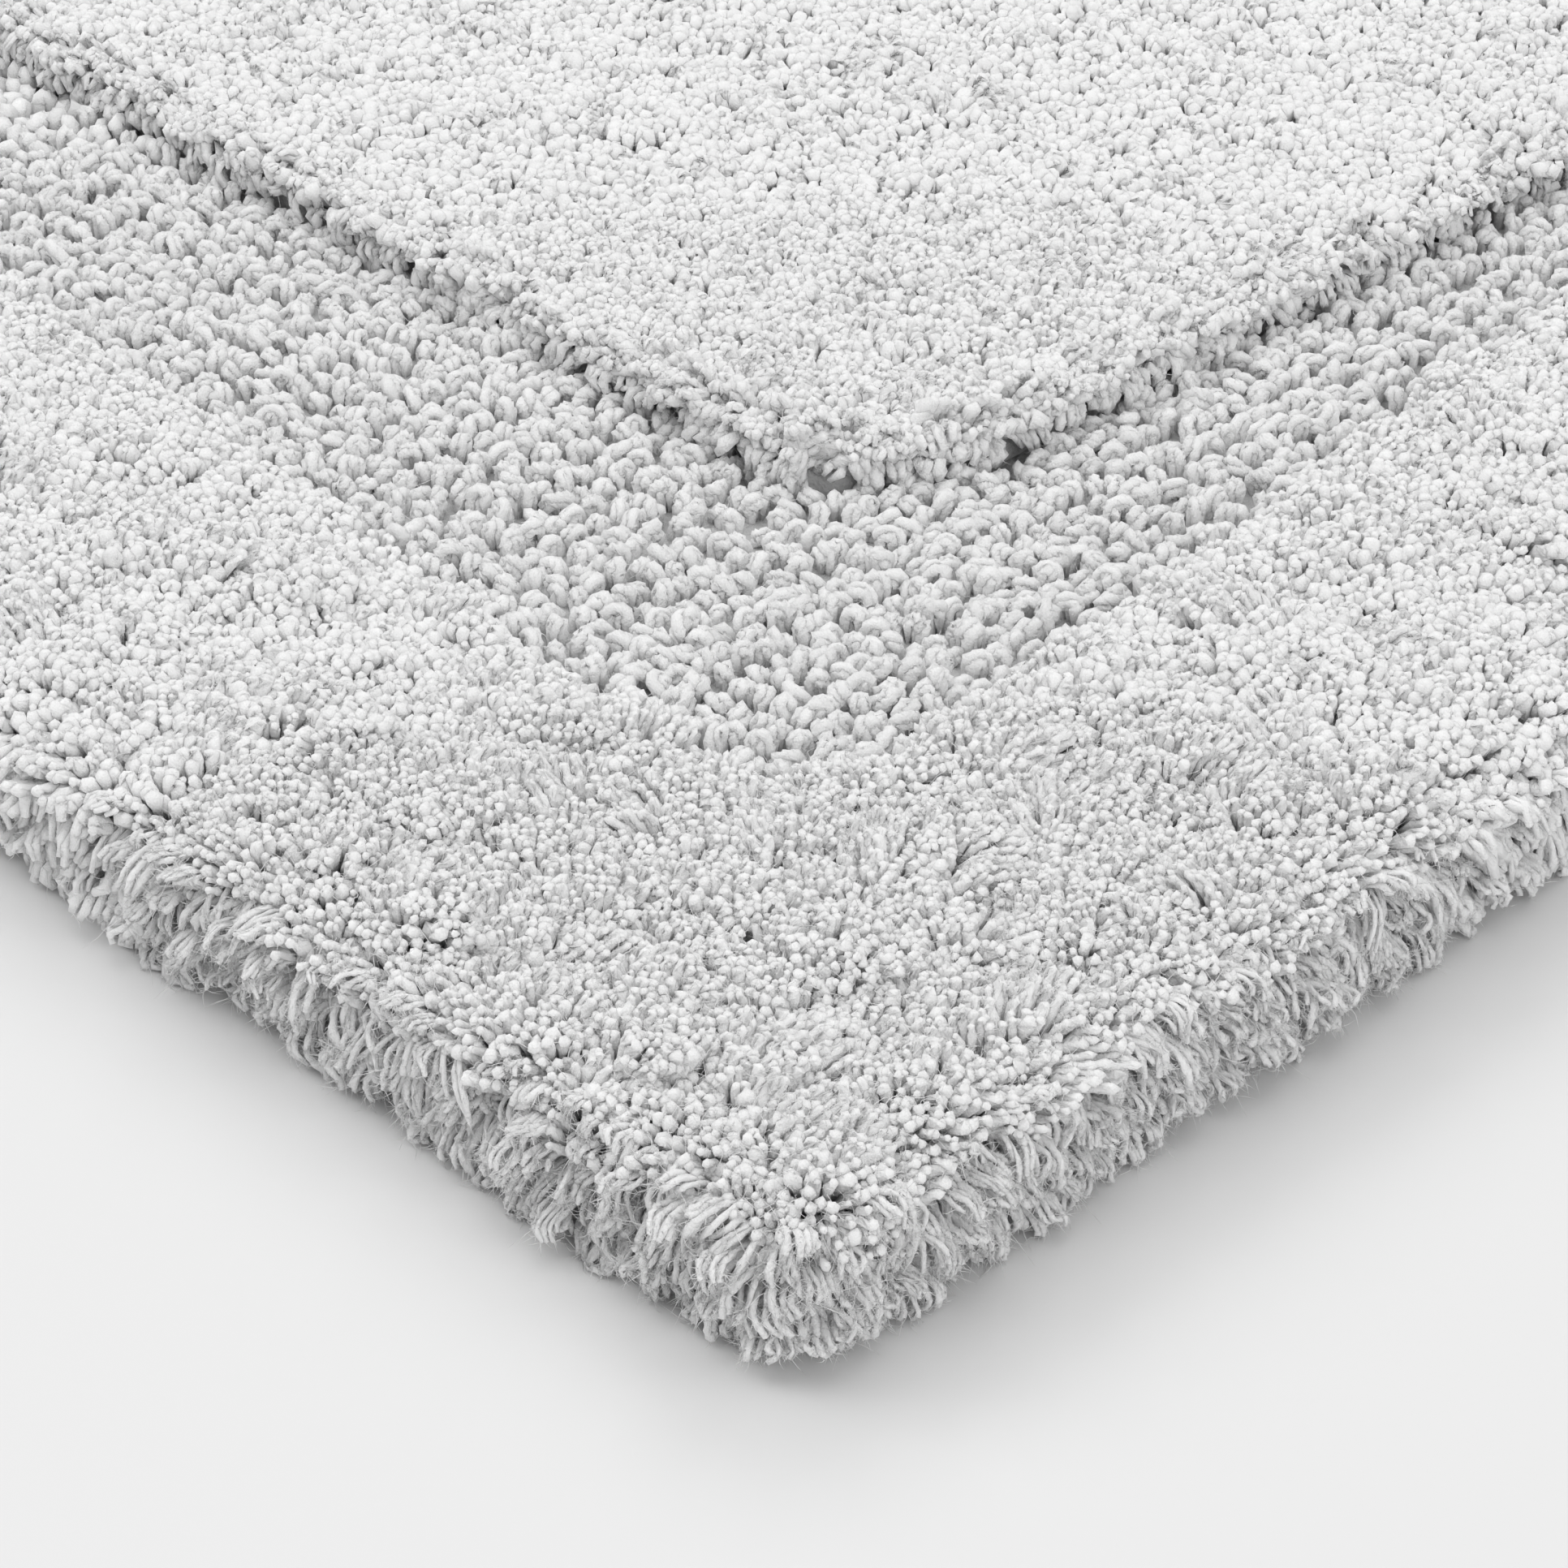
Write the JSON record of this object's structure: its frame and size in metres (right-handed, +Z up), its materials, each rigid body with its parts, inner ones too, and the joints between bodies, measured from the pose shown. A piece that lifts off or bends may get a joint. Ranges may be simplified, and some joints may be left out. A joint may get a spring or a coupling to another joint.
{
  "type": "bath mat",
  "caption": "Rectangular tufted cotton bath mat: cut-pile border rolled over the edge, lower loop-pile band, raised sheared cut-pile centre, taped hem and latex-coated back.",
  "frame": {"origin": "centre of the mat's underside, on the floor", "axes": "+X along the mat's length, +Y along its width, +Z up out of the pile"},
  "size_m": [0.864, 0.508, 0.021],
  "materials": {
    "cut_pile": "matte cotton yarn, cut and sheared",
    "loop_pile": "matte cotton yarn, uncut loops",
    "base_cloth": "plain-weave cotton canvas",
    "hem_tape": "cotton twill tape",
    "thread": "spun sewing thread",
    "latex": "matte latex coat"
  },
  "bodies": {
    "root": {"latex_coat": "latex", "hem_tape_front": "hem_tape", "hem_tape_right": "hem_tape", "hem_tape_back": "hem_tape", "hem_tape_left": "hem_tape", "hem_stitching_front": "thread", "hem_stitching_right": "thread", "hem_stitching_back": "thread", "hem_stitching_left": "thread", "base_cloth": "base_cloth", "border_pile_front": "cut_pile", "border_pile_right": "cut_pile", "border_pile_back": "cut_pile", "border_pile_left": "cut_pile", "loop_band_front": "loop_pile", "loop_band_right": "loop_pile", "loop_band_back": "loop_pile", "loop_band_left": "loop_pile", "centre_pile": "cut_pile"}
  },
  "joints": []
}
